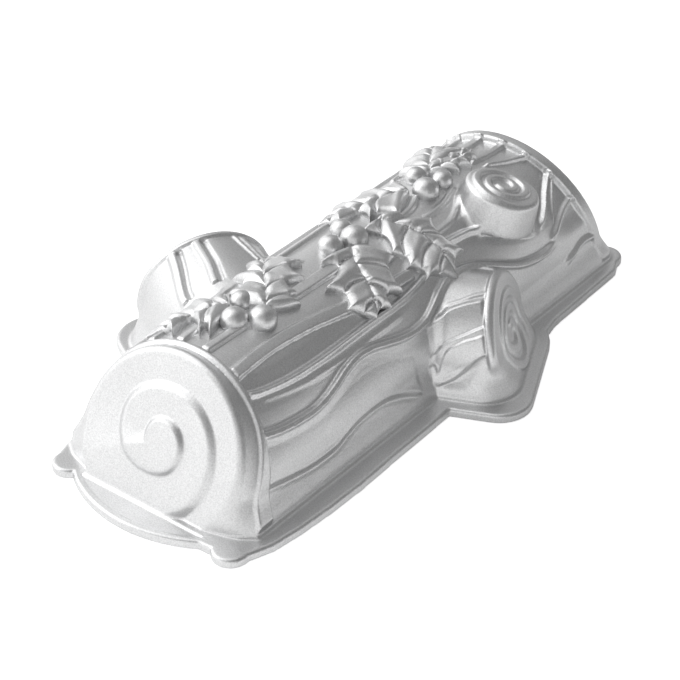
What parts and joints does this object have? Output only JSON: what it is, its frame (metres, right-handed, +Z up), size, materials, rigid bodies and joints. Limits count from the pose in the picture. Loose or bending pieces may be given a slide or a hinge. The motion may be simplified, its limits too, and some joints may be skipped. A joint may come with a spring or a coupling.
{
  "type": "yule log pan",
  "caption": "Cast aluminium cake pan shaped as a yule log, turned rim side down, with swirl ends, two side branches, a top knot, holly leaves, berries and wavy bark over one open mould hollow.",
  "frame": {"origin": "middle of the footprint on the table, with the pan resting on its rim", "axes": "+Z up, +Y from the swirl end to the rear end along the log, +X to the right seen from the swirl end"},
  "size_m": [0.1987, 0.339, 0.0791],
  "materials": {
    "cast_aluminium": "satin sparkle"
  },
  "bodies": {
    "root": {"rim_flange": "cast_aluminium", "log_shell": "cast_aluminium", "swirl_end": "cast_aluminium", "swirl_lower_step": "cast_aluminium", "swirl_upper_step": "cast_aluminium", "front_collar": "cast_aluminium", "rear_collar": "cast_aluminium", "rear_wall": "cast_aluminium", "right_branch": "cast_aluminium", "right_branch_swirl": "cast_aluminium", "left_branch": "cast_aluminium", "left_branch_swirl": "cast_aluminium", "top_knot": "cast_aluminium", "top_knot_swirl": "cast_aluminium", "bark_ridges_top": "cast_aluminium", "bark_waves_right": "cast_aluminium", "bark_waves_left": "cast_aluminium", "right_branch_ribs": "cast_aluminium", "left_branch_ribs": "cast_aluminium", "holly_leaf_1": "cast_aluminium", "holly_leaf_2": "cast_aluminium", "holly_leaf_3": "cast_aluminium", "holly_leaf_4": "cast_aluminium", "holly_leaf_5": "cast_aluminium", "holly_leaf_6": "cast_aluminium", "holly_leaf_7": "cast_aluminium", "holly_berries_front": "cast_aluminium", "holly_berries_middle": "cast_aluminium", "holly_berries_rear": "cast_aluminium"}
  },
  "joints": []
}
